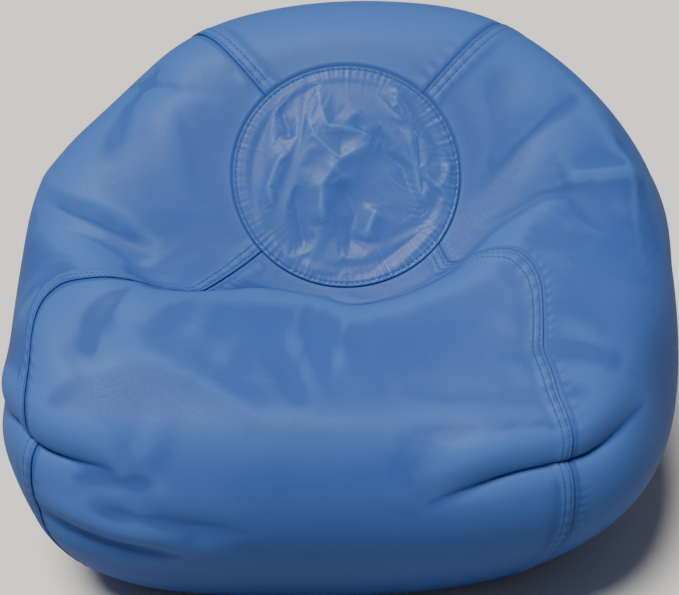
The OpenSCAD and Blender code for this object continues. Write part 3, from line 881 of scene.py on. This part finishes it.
def build_gore(k):
    """One gore: tucked below its neighbour on one side, lapped and stitched on the other."""
    sizes = sizes_now()
    cover = SHAPES["cover"]
    per_gore = COVER_COLUMNS // 4
    rows_at = np.concatenate([[-0.62, -0.3, -0.06, 0.09, 0.22, 0.38, 0.6],
                              np.linspace(0.85, COVER_ROWS, sizes.rows)])
    rows = sample_rows(cover, rows_at)
    row_mm = np.linalg.norm(cover[1] - cover[0], axis=-1).mean()
    down = rows_at * row_mm

    def seam_width(v):
        near = sample_columns(rows, np.repeat([[v - 0.6, v + 0.6]], len(rows), 0))
        return np.linalg.norm(near[:, 1] - near[:, 0], axis=-1) / 1.2

    start = k * per_gore
    end = start + per_gore
    lap = np.array(FIRST_BAND)[::-1] * MM
    tuck = np.concatenate([np.array(TUCK_BAND) * sizes.tuck, [12 * MM]])
    start_at = start + tuck[None] / seam_width(start)[:, None]
    end_at = end - lap[None] / seam_width(end)[:, None]
    share = np.linspace(0, 1, sizes.columns)[None, 1:-1]
    middle = start_at[:, -1:] * (1 - share) + end_at[:, :1] * share
    at = np.concatenate([start_at, middle, end_at], 1)
    points = sample_columns(rows, at)
    normals = normals_of(points)
    calm = calmed(normals, 2, False)
    normals = unit(calm)
    from_start = (at - start) * seam_width(start)[:, None]
    from_end = (end - at) * seam_width(end)[:, None]
    stitch_rows = (sizes.stitch_inset, sizes.stitch_inset + sizes.stitch_gauge)
    height = lap_profile(from_end, sizes, stitch_rows)
    height = height * ease((down[:, None] + 1 * MM) / (5 * MM))
    height = height + under_profile(from_start, 1.4 * MM) + under_profile(down[:, None], 1.5 * MM)
    # the seam draws the fabric up into short puckers on both sides
    s_mm = np.concatenate([[0], np.cumsum(np.linalg.norm(np.diff(points[:, -1], axis=0), axis=1))])
    wave = (np.sin(s_mm / MM / 2.1 + 2 * np.sin(s_mm / MM / 37))
            * (0.6 + 0.4 * np.sin(s_mm / MM / 23 + k)))
    for far in (from_start, from_end):
        height = height + 0.28 * MM * wave[:, None] * np.exp(-((far - 6 * MM) / (8 * MM)) ** 2)
    points = points + normals * height[..., None]
    points[..., 2] = np.maximum(points[..., 2], 0.0)
    ridge = ridge_of(points, normals_of(points))
    faces = grid_faces(*points.shape[:2])
    obj = finish_sheet(GORE_NAMES[k], points, ridge, faces, sizes.cover_t, "cover")
    SHAPES[("gore", k)] = points


def build_crown():
    """The crown: slack fabric gathered into its seam, lapped over the gores and stitched once."""
    sizes = sizes_now()
    grid = SHAPES["crown"]
    cells = 196
    # finer towards the rim, where the lap and the gathers are
    t = np.linspace(-1, 1, cells + 1)
    t = np.sign(t) * (1 - (1 - np.abs(t)) ** 1.25)
    a, b = np.meshgrid(t, t, indexing="ij")
    at = (a + 1) / 2 * CROWN_CELLS
    down = sample_rows(grid, (t + 1) / 2 * CROWN_CELLS)
    points = sample_columns(down, (b + 1) / 2 * CROWN_CELLS, closed=False)
    x, y, r = disc(a, b)
    angle = np.arctan2(y, x)
    normals = unit(np.cross(np.gradient(points, axis=1), np.gradient(points, axis=0)))
    if (normals * BACK_NORMAL).sum(-1).mean() < 0:
        normals = -normals
    from_rim = (1 - r) * CROWN_R
    height = lap_profile(from_rim, sizes, (sizes.stitch_inset,))
    slack = 0.4 + 0.6 * np.clip(np.sin(2 * angle + 0.6) * np.sin(3 * angle + 1.1) + 0.35, 0, 1)
    pleat = (np.sin(71 * angle + 5 * np.sin(5 * angle))
             + 0.8 * np.sin(113 * angle + 4 * np.sin(7 * angle)))
    length = (5 + 4 * np.sin(11 * angle + 2 * np.sin(4 * angle)) ** 2 * slack * 2) * MM
    fade = np.exp(-from_rim / length) * ease((from_rim - 0.4 * MM) / (2.5 * MM))
    height = height + sizes.gather * 0.6 * pleat * slack * fade
    points = points + normals * height[..., None]
    ridge = ridge_of(points, normals)
    faces = grid_faces(cells + 1, cells + 1)
    obj = finish_sheet("crown_panel", points, ridge, faces, sizes.cover_t, "crown")
    SHAPES["crown_fine"] = (points, normals, r, angle)
    disc_sheet(points)


# ---- Stitches and coils, by geometry nodes

def socket_id(tree, name):
    for item in tree.interface.items_tree:
        if item.item_type == "SOCKET" and item.in_out == "INPUT" and item.name == name:
            return item.identifier
    raise RuntimeError(f"the tree has no input named {name}")


def new_tree(name, inputs):
    """A geometry tree with a geometry input and output and the named float inputs."""
    tree = bpy.data.node_groups.new(name, "GeometryNodeTree")
    tree.interface.new_socket("Geometry", in_out="INPUT", socket_type="NodeSocketGeometry")
    for key, value in inputs.items():
        item = tree.interface.new_socket(key, in_out="INPUT", socket_type="NodeSocketFloat")
        item.default_value = value
    tree.interface.new_socket("Geometry", in_out="OUTPUT", socket_type="NodeSocketGeometry")
    return tree, node(tree, "NodeGroupInput"), node(tree, "NodeGroupOutput")


def times(tree, socket, factor):
    return node(tree, "ShaderNodeMath", {0: socket}, operation="MULTIPLY",
                inputs={1: factor}).outputs[0]


def close_tree(tree, made, out, material):
    """Realizes what was made, gives it its material and sends it out."""
    real = node(tree, "GeometryNodeRealizeInstances", {"Geometry": made.outputs[0]})
    painted = node(tree, "GeometryNodeSetMaterial", {"Geometry": real.outputs[0]})
    painted.inputs["Material"].default_value = material
    tree.links.new(painted.outputs[0], out.inputs[0])
    return tree


def stitch_tree(material):
    """One bowed thread, both ends in the fabric, on every point, laid along it."""
    tree, given, out = new_tree("topstitching", {"Length": 3.9 * MM, "Thread": 0.8 * MM})
    dip, top, radius = (times(tree, given.outputs["Thread"], share) for share in (-0.9, 1.1, 0.5))
    ends = [node(tree, "ShaderNodeCombineXYZ",
                 {"X": times(tree, given.outputs["Length"], side), "Z": dip})
            for side in (-0.5, 0.5)]
    middle = node(tree, "ShaderNodeCombineXYZ", {"Z": top})
    bow = node(tree, "GeometryNodeCurveQuadraticBezier",
               {"Start": ends[0].outputs[0], "Middle": middle.outputs[0],
                "End": ends[1].outputs[0]}, inputs={"Resolution": 6})
    ring = node(tree, "GeometryNodeCurvePrimitiveCircle", {"Radius": radius},
                inputs={"Resolution": 7})
    thread = node(tree, "GeometryNodeCurveToMesh",
                  {"Curve": bow.outputs[0], "Profile Curve": ring.outputs[0]},
                  inputs={"Fill Caps": True})
    along, up = (node(tree, "GeometryNodeInputNamedAttribute", data_type="FLOAT_VECTOR",
                      inputs={"Name": name}) for name in ("along", "up"))
    turn = node(tree, "FunctionNodeAxesToRotation",
                {"Primary Axis": up.outputs[0], "Secondary Axis": along.outputs[0]},
                primary_axis="Z", secondary_axis="X")
    laid = node(tree, "GeometryNodeInstanceOnPoints",
                {"Points": given.outputs["Geometry"], "Instance": thread.outputs[0],
                 "Rotation": turn.outputs[0]})
    return close_tree(tree, laid, out, material)


def coil_tree(material):
    """A nylon spiral with flattened turns, along X."""
    tree, given, out = new_tree("zip_coil", {"Length": 0.3, "Width": 2.5 * MM, "Depth": 2 * MM,
                                             "Pitch": 1.6 * MM, "Wire": 0.6 * MM})
    turns = node(tree, "ShaderNodeMath", {0: given.outputs["Length"], 1: given.outputs["Pitch"]},
                 operation="DIVIDE")
    spiral = node(tree, "GeometryNodeCurveSpiral",
                  {"Rotations": turns.outputs[0], "Height": given.outputs["Length"]},
                  inputs={"Resolution": 10, "Start Radius": 0.5, "End Radius": 0.5})
    inside = [node(tree, "ShaderNodeMath", {0: given.outputs[k], 1: given.outputs["Wire"]},
                   operation="SUBTRACT") for k in ("Depth", "Width")]
    size = node(tree, "ShaderNodeCombineXYZ",
                {"X": inside[0].outputs[0], "Y": inside[1].outputs[0]}, inputs={"Z": 1.0})
    laid = node(tree, "GeometryNodeTransform",
                {"Geometry": spiral.outputs[0], "Scale": size.outputs[0]},
                inputs={"Rotation": (0.0, math.pi / 2, 0.0)})
    ring = node(tree, "GeometryNodeCurvePrimitiveCircle",
                {"Radius": times(tree, given.outputs["Wire"], 0.5)}, inputs={"Resolution": 6})
    wound = node(tree, "GeometryNodeCurveToMesh",
                 {"Curve": laid.outputs[0], "Profile Curve": ring.outputs[0]},
                 inputs={"Fill Caps": True})
    return close_tree(tree, wound, out, material)


def run_tree(obj, tree, values):
    """Evaluates the tree on obj and keeps the result as its plain mesh."""
    grow = obj.modifiers.new("grow", "NODES")
    grow.node_group = tree
    for key, value in values.items():
        grow[socket_id(tree, key)] = value
    graph = bpy.context.evaluated_depsgraph_get()
    made = bpy.data.meshes.new_from_object(obj.evaluated_get(graph))
    obj.modifiers.clear()
    obj.data = made
    made.name = obj.name
    made.shade_smooth()
    if not len(made.polygons):
        raise RuntimeError(f"{obj.name} came out with no faces")
    return obj


def stitch_points(line, ups, pitch):
    """Middles of the stitches along a line of points, with the ways along and up at each."""
    gaps = np.linalg.norm(np.diff(line, axis=0), axis=1)
    total = np.concatenate([[0], np.cumsum(gaps)])
    at = np.arange(pitch / 2, total[-1], pitch)

    def pick(values, shift=0.0):
        return np.stack([np.interp(at + shift, total, values[:, i]) for i in range(3)], 1)

    return pick(line), unit(pick(line, pitch / 4) - pick(line, -pitch / 4)), unit(pick(ups))


def stitched(name, lines):
    """A piece of topstitching from (points, ups) lines."""
    sizes = sizes_now()
    parts = [stitch_points(line, ups, sizes.stitch_pitch) for line, ups in lines]
    middle, along, up = (np.concatenate([p[i] for p in parts]) for i in range(3))
    obj = add_mesh(name, middle, [])
    for key, values in (("along", along), ("up", up)):
        layer = obj.data.attributes.new(key, "FLOAT_VECTOR", "POINT")
        layer.data.foreach_set("vector", values.astype(np.float32).ravel())
    tree = bpy.data.node_groups.get("topstitching") or stitch_tree(material_for("thread"))
    run_tree(obj, tree, {"Length": sizes.stitch_pitch * 0.8, "Thread": sizes.thread_d})
    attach(obj, "bag")
    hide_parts(name)


def build_seam_stitches(seam):
    """Twin rows on the gore that laps at this seam."""
    gore = (seam - 1) % 4
    points = SHAPES[("gore", gore)]
    normals = normals_of(points)
    columns = [points.shape[1] - 1 - FIRST_BAND.index(x) for x in (3.5, 9.85)]
    first = 8
    lines = [(points[first:, c], normals[first:, c]) for c in columns]
    stitched(f"{SEAM_NAMES[seam]}_topstitch", lines)


def build_crown_stitches():
    """One row just inside the rim of the crown."""
    sizes = sizes_now()
    points, normals, r, angle = SHAPES["crown_fine"]
    row = 1 - sizes.stitch_inset / CROWN_R
    around = np.linspace(-math.pi, math.pi, 721)
    flat_p, flat_n = points.reshape(-1, 3), normals.reshape(-1, 3)
    x, y = (r * np.cos(angle)).ravel(), (r * np.sin(angle)).ravel()
    band = np.nonzero((r.ravel() > row - 0.05) & (r.ravel() < row + 0.03))[0]
    line, ups = [], []
    for a in around:
        gap = (x[band] - row * math.cos(a)) ** 2 + (y[band] - row * math.sin(a)) ** 2
        best = band[np.argsort(gap)[:4]]
        w = 1 / (np.sort(gap)[:4] + 1e-7)
        line.append((flat_p[best] * w[:, None]).sum(0) / w.sum())
        ups.append((flat_n[best] * w[:, None]).sum(0) / w.sum())
    stitched("crown_topstitch", [(np.array(line), np.array(ups))])


# ---- Operators

CAMERA_AWAY = 2.2
CAMERA_ELEVATION = 35


def aimed(data, place, way):
    """An object for a lamp or a camera at a place, looking along a way."""
    obj = bpy.data.objects.new(data.name, data)
    bpy.context.scene.collection.objects.link(obj)
    obj.location = place
    obj.rotation_euler = way.to_track_quat("-Z", "Y").to_euler()
    return obj


class BEANBAG_OT_stage(Operator):
    """Lays the pale floor, hangs the lights and sets the camera"""

    bl_idname = "beanbag.stage"
    bl_label = "Stage"

    def execute(self, context):
        scene = context.scene
        floor = add_mesh("floor", [(-30, -30, 0), (30, -30, 0), (30, 30, 0), (-30, 30, 0)],
                         [(0, 1, 2, 3)])
        floor.data.materials.append(material_for("floor"))
        floor.location.z = -0.0006
        world = bpy.data.worlds.new("soft_sky")
        scene.world = world
        world.use_nodes = True
        sky = world.node_tree.nodes["Background"]
        sky.inputs["Color"].default_value = linear("#eef2fa")
        sky.inputs["Strength"].default_value = 0.1
        sun = bpy.data.lights.new("overhead", "SUN")
        sun.angle = math.radians(22)
        sun.energy = 4.2
        sun.color = linear("#fffaf2")[:3]
        aimed(sun, (0, 0, 0), Vector((0.24, 0.33, -1)))
        warm = bpy.data.lights.new("warm", "AREA")
        warm.size = 1.4
        warm.energy = 0.6
        warm.color = linear("#ffe0c4")[:3]
        place = Vector((2.6, -1.2, 0.9))
        aimed(warm, place, Vector((0, 0, 0.2)) - place)
        lens = bpy.data.cameras.new("camera")
        lens.sensor_width = 36
        # the view is 679 mm wide at the target
        lens.lens = lens.sensor_width * CAMERA_AWAY / 0.679
        elevation = math.radians(CAMERA_ELEVATION)
        back = Vector((0, -math.cos(elevation), math.sin(elevation)))
        target = Vector(MIDDLE) + Vector((0, 0, 0.201))
        scene.camera = aimed(lens, target + back * CAMERA_AWAY, -back)
        return {"FINISHED"}


class BEANBAG_OT_shape(Operator):
    """Works out the shape of the whole cover: the rule, the folds and the buckling of the cloth"""

    bl_idname = "beanbag.shape"
    bl_label = "Shape the cover"

    def execute(self, context):
        build_shapes()
        return {"FINISHED"}


class BEANBAG_OT_gores(Operator):
    """Makes the four gores, each tucked under one neighbour and lapped over the other"""

    bl_idname = "beanbag.gores"
    bl_label = "Gores"

    def execute(self, context):
        for k in range(4):
            build_gore(k)
        return {"FINISHED"}


class BEANBAG_OT_crown(Operator):
    """Makes the gathered crown"""

    bl_idname = "beanbag.crown"
    bl_label = "Crown"

    def execute(self, context):
        build_crown()
        return {"FINISHED"}


class BEANBAG_OT_stitches(Operator):
    """Sews the topstitching of the crown and of the four seams"""

    bl_idname = "beanbag.stitches"
    bl_label = "Topstitching"

    def execute(self, context):
        build_crown_stitches()
        for seam in range(4):
            build_seam_stitches(seam)
        return {"FINISHED"}


class BEANBAG_OT_zips(Operator):
    """Winds the nylon coils of both zips and gives tapes, stops and sliders their finishes"""

    bl_idname = "beanbag.zips"
    bl_label = "Zips"

    def execute(self, context):
        sizes = sizes_now()
        tree = coil_tree(material_for("coil"))
        for zip_name in ("cover", "liner"):
            for side in ("front", "rear"):
                name = f"{zip_name}_zip_coil_{side}"
                low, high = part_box(name)
                coil = add_mesh(f"{name}_spiral", [(0, 0, 0)], [])
                run_tree(coil, tree, {"Length": high.x - low.x, "Width": high.y - low.y,
                                      "Depth": high.z - low.z, "Pitch": sizes.coil_pitch})
                co = np.array([v.co for v in coil.data.vertices])
                shift = (np.array(low) + np.array(high)) / 2 - (co.min(0) + co.max(0)) / 2
                coil.data.vertices.foreach_set("co", (co + shift).ravel())
                coil.data.update()
                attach(coil, "bag")
                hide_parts(name)
                dress(f"{zip_name}_zip_tape_{side}", "tape")
            for part in ("top_stop", "bottom_stop", "slider"):
                dress(f"{zip_name}_zip_{part}", "zinc")
        return {"FINISHED"}


def dress(node_name, key):
    """Gives a CAD node its finish."""
    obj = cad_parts[node_name]
    obj.data.materials.clear()
    obj.data.materials.append(material_for(key))


# How far in from the outside of the cover the liner and the beads are, and the liner's thickness
LINER_INSET = 7 * MM
FILL_INSET = 12 * MM
LINER_T = 0.5 * MM


def lowest(values, rows, columns):
    """The least value within so many rows and columns of each place; the columns close up."""
    out = values.copy()
    for _ in range(columns):
        out = np.minimum(out, np.minimum(np.roll(out, 1, 1), np.roll(out, -1, 1)))
    for _ in range(rows):
        out[1:-1] = np.minimum(out[1:-1], np.minimum(out[:-2], out[2:]))
    return out


def inner_shapes(depth, ring_r, ring_z):
    """The grid of the cover and of the crown, moved inwards, with the last row on a ring."""
    cover, crown = SHAPES["cover"][:, ::2], SHAPES["crown"]
    out = []
    for grid, closed in ((cover, True), (crown, False)):
        gap = grid - HEART
        far = np.linalg.norm(gap, axis=-1)
        ways = gap / far[..., None]
        near = lowest(far, 2, 2) if closed else far.copy()
        if not closed:
            for _ in range(3):
                near[1:-1, 1:-1] = np.minimum.reduce([
                    near[1:-1, 1:-1], near[:-2, 1:-1], near[2:, 1:-1],
                    near[1:-1, :-2], near[1:-1, 2:]])
        near = calmed(near[..., None], 3, closed)[..., 0]
        out.append((ways, near))
    (ways, near), (crown_ways, crown_near) = out
    wall = HEART + ways * (near - depth)[..., None]
    around = cover[-1] - MIDDLE
    b = np.arctan2(around[:, 1], around[:, 0])
    goal = np.stack([ring_r * np.cos(b), ring_r * np.sin(b), 0 * b + ring_z], -1) + MIDDLE
    share = ease((SHAPES["rows"] - 1 + LIP_SHARE) / LIP_SHARE)[:, None, None]
    wall = wall + (goal - wall[-1]) * share
    wall[..., 2] = np.maximum(wall[..., 2], ring_z)
    top = HEART + crown_ways * (crown_near - depth)[..., None]
    return wall, top


def build_liner():
    """The liner's wall and crown, a loose woven bag that follows the cover's folds."""
    low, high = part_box("liner_base_front")
    # the wall clears the base by the width of the seam between them
    wall, top = inner_shapes(LINER_INSET, (high.x - low.x) / 2 + 0.4 * MM, low.z)
    obj = finish_sheet("liner_wall", wall, np.zeros(wall.shape[:2]),
                       grid_faces(*wall.shape[:2], closed=True), LINER_T, "liner")
    width = float(np.linalg.norm(np.diff(wall, axis=1), axis=-1).sum(1).max())
    length = float(np.linalg.norm(np.diff(wall, axis=0), axis=-1).sum(0).mean())
    obj = finish_sheet("liner_crown", top, np.zeros(top.shape[:2]), grid_faces(*top.shape[:2]),
                       LINER_T, "liner")
    disc_sheet(top)


def build_fill():
    """The beads, one closed body that fills the liner."""
    low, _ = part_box("bead_fill")
    liner_low, liner_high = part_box("liner_base_front")
    ring_r = (liner_high.x - liner_low.x) / 2 - 5 * MM
    wall, top = inner_shapes(FILL_INSET, ring_r, low.z)
    columns = wall.shape[1]
    # the crown part is laid in rings, so that its rim has the wall's own points
    rings = 12
    middle = HEART + unit(CROWN_CENTRE - HEART) * np.linalg.norm(top - HEART, axis=-1)[
        CROWN_CELLS // 2, CROWN_CELLS // 2]
    rim = wall[0]
    caps = []
    for i in range(1, rings):
        share = i / rings
        ways = unit(unit(middle - HEART) * (1 - share) + unit(rim - HEART) * share)
        far = np.array([np.linalg.norm(top - HEART, axis=-1).ravel()[
            np.argmax(unit(top - HEART).reshape(-1, 3) @ w)] for w in ways])
        far = np.convolve(np.concatenate([far[-2:], far, far[:2]]), np.ones(5) / 5, "valid")
        caps.append(HEART + ways * far[:, None])
    grid = np.concatenate([np.array(caps), wall])
    points = np.concatenate([grid.reshape(-1, 3), [middle], [MIDDLE + [0, 0, low.z]]])
    n = len(grid) * columns
    faces = grid_faces(len(grid), columns, closed=True)
    last = (len(grid) - 1) * columns
    for j in range(columns):
        k = (j + 1) % columns
        faces.append((n, j, k))
        faces.append((last + j, n + 1, last + k))
    obj = add_mesh("bead_fill", points, faces)
    obj.data.shade_smooth()
    obj.data.materials.append(material_for("bead"))
    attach(obj, "bag")
    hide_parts("bead_fill")


class BEANBAG_OT_inside(Operator):
    """Finishes the base, and makes the liner and the fill follow the cover's folds"""

    bl_idname = "beanbag.inside"
    bl_label = "Base, liner and fill"

    def execute(self, context):
        for name in ("base_panel_front", "base_panel_rear"):
            dress(name, "cover")
        for name in ("liner_base_front", "liner_base_rear"):
            dress(name, "liner")
        build_liner()
        build_fill()
        return {"FINISHED"}


OPERATORS = (BEANBAG_OT_stage, BEANBAG_OT_shape, BEANBAG_OT_gores, BEANBAG_OT_crown,
             BEANBAG_OT_stitches, BEANBAG_OT_zips, BEANBAG_OT_inside)


class BEANBAG_PT_panel(Panel):
    """Lists the bag's sizes and the steps that make it"""

    bl_idname = "BEANBAG_PT_panel"
    bl_label = "Bean Bag Chair"
    bl_space_type = "VIEW_3D"
    bl_region_type = "UI"
    bl_category = "Bean Bag"

    def draw(self, context):
        for name in BagSizes.__annotations__:
            self.layout.prop(context.scene.bean_bag_sizes, name)
        for name in BagColours.__annotations__:
            self.layout.prop(context.scene.bean_bag_colours, name)
        for operator in OPERATORS:
            self.layout.operator(operator.bl_idname)


CLASSES = (BagSizes, BagColours, *OPERATORS, BEANBAG_PT_panel)


def register():
    for cls in CLASSES:
        bpy.utils.register_class(cls)
    bpy.types.Scene.bean_bag_sizes = PointerProperty(type=BagSizes)
    bpy.types.Scene.bean_bag_colours = PointerProperty(type=BagColours)


def unregister():
    del bpy.types.Scene.bean_bag_colours
    del bpy.types.Scene.bean_bag_sizes
    for cls in reversed(CLASSES):
        bpy.utils.unregister_class(cls)


def main():
    """Makes the whole chair."""
    register()
    bpy.ops.beanbag.stage()
    bpy.ops.beanbag.shape()
    bpy.ops.beanbag.gores()
    bpy.ops.beanbag.crown()
    bpy.ops.beanbag.stitches()
    bpy.ops.beanbag.zips()
    bpy.ops.beanbag.inside()


if __name__ == "__main__":
    main()
